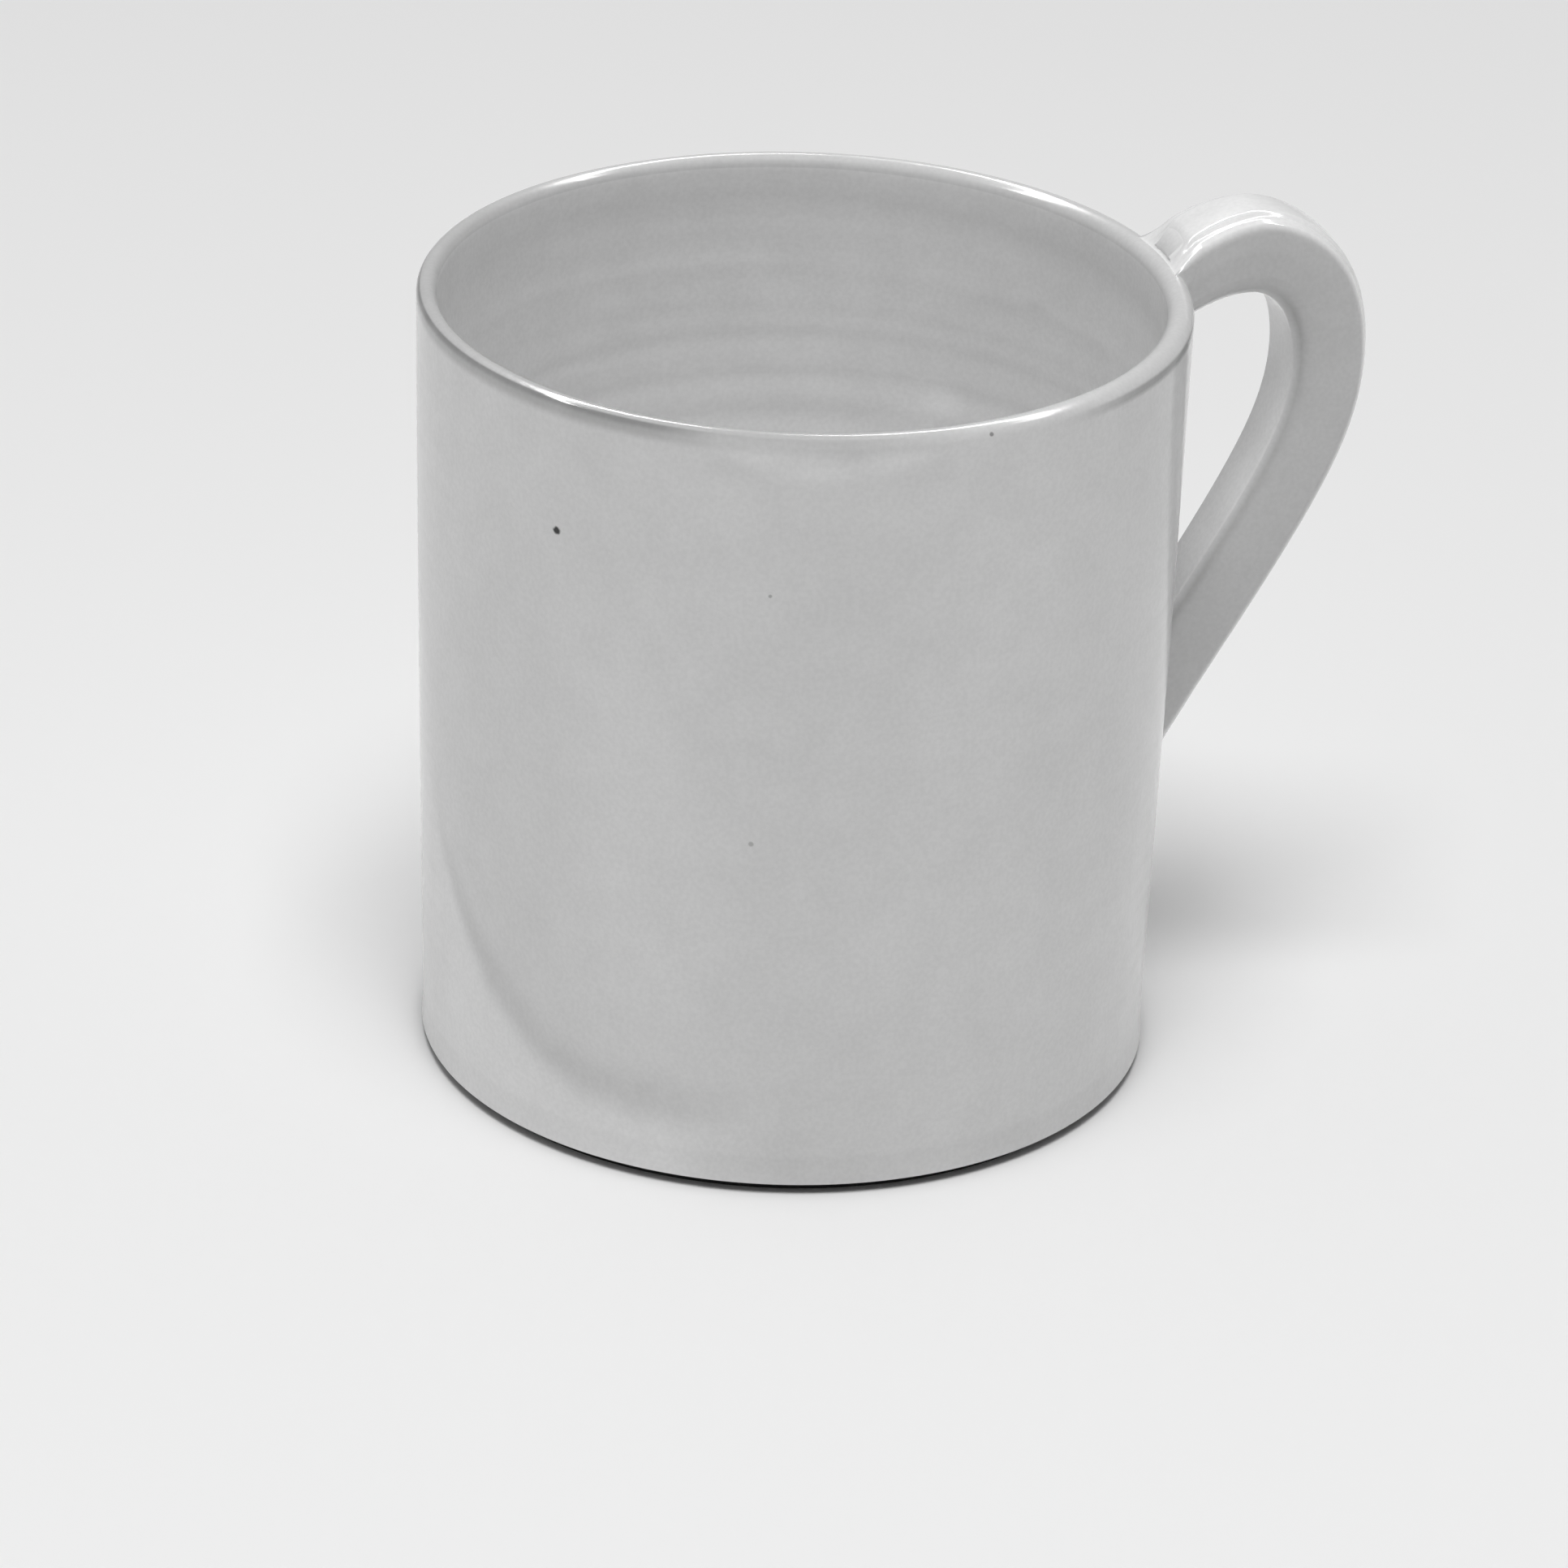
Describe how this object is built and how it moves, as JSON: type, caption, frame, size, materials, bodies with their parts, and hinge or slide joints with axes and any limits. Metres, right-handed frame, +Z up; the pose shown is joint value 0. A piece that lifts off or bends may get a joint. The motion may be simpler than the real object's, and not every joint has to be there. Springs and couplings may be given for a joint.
{
  "type": "shaving mug",
  "caption": "Straight-sided glazed ceramic shaving mug with a rounded lip, a flat undercut foot and an ear-shaped strap handle.",
  "frame": {"origin": "centre of the flat foot, on the cup's axis", "axes": "+Z up along the cup's axis, +X from the axis towards the handle, +Y across the handle"},
  "size_m": [0.1214, 0.0954, 0.1078],
  "materials": {
    "cup_glaze": "gloss",
    "handle_glaze": "gloss",
    "slip_glaze": "gloss"
  },
  "bodies": {
    "root": {"cup_body": "cup_glaze", "handle": "handle_glaze", "upper_slip_joint": "slip_glaze", "lower_slip_joint": "slip_glaze"}
  },
  "joints": []
}
